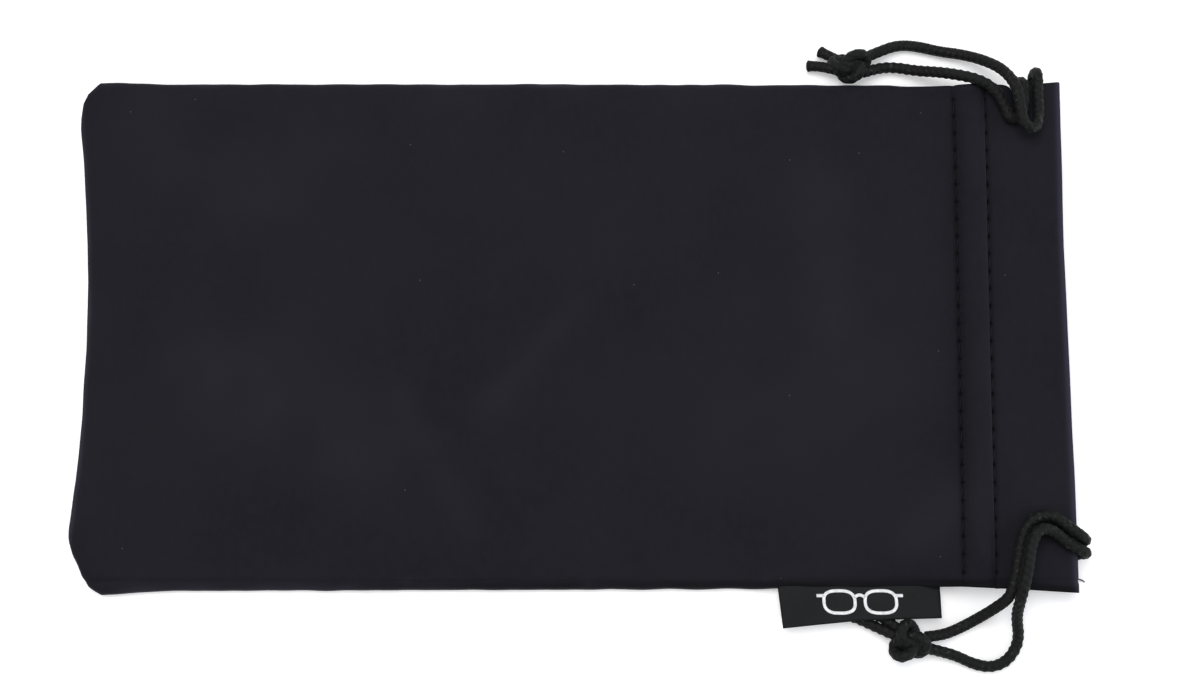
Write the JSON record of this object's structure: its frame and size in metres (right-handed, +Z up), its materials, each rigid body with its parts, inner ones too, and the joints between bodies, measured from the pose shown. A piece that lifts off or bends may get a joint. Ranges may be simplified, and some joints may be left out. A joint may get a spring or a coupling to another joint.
{
  "type": "soft pouch glasses case",
  "caption": "Flat soft drawstring pouch for glasses: two sewn cloths, hemmed mouth with a cord tunnel, knotted cords at both sides and a woven side label.",
  "frame": {"origin": "centre of the flat underside of the back cloth", "axes": "+X from the closed end to the open mouth, +Y across the pouch, away from the side with the label, +Z up from the resting face"},
  "size_m": [0.1786, 0.1129, 0.01],
  "materials": {
    "microfibre": "matt brushed microfibre cloth, dark navy charcoal",
    "cord": "braided polyester cord, black",
    "label_tape": "woven satin tape, black",
    "emblem_print": "white transfer print",
    "thread": "spun polyester sewing thread, near black"
  },
  "bodies": {
    "pouch": {"back_panel": "microfibre", "front_panel_border": "microfibre", "front_hem_stitches_upper": "thread", "front_hem_stitches_lower": "thread", "back_hem_stitches": "thread", "side_seam_thread_upper": "thread", "side_seam_thread_lower": "thread", "end_seam_thread": "thread", "loose_thread_end": "thread", "upper_cord_front_end": "cord", "upper_cord_return": "cord", "lower_cord_front_end": "cord", "lower_cord_return": "cord"},
    "front_middle": {"front_panel": "microfibre", "front_hem_stitches": "thread", "upper_cord_front_run": "cord", "lower_cord_front_run": "cord"},
    "label": {"woven_label": "label_tape", "label_emblem": "emblem_print"},
    "upper_cord": {"upper_front_strand": "cord", "upper_back_strand": "cord", "upper_knot": "cord", "upper_tails": "cord"},
    "lower_cord": {"lower_front_strand": "cord", "lower_back_strand": "cord", "lower_knot": "cord", "lower_tails": "cord"}
  },
  "joints": [
    {"name": "mouth_open", "type": "hinge", "parent": "pouch", "child": "front_middle", "pos_m": [-0.084, 0, 0.0009], "axis": [0, -1, 0], "range_deg": [0, 6]},
    {"name": "label_flip", "type": "hinge", "parent": "pouch", "child": "label", "pos_m": [0.0504, -0.0433, 0.0015], "axis": [-1, 0, 0], "range_deg": [0, 90]},
    {"name": "upper_cord_pull", "type": "slide", "parent": "pouch", "child": "upper_cord", "axis": [0, 1, 0], "range_m": [0, 0.006]},
    {"name": "lower_cord_pull", "type": "slide", "parent": "pouch", "child": "lower_cord", "axis": [0, -1, 0], "range_m": [0, 0.006]}
  ]
}
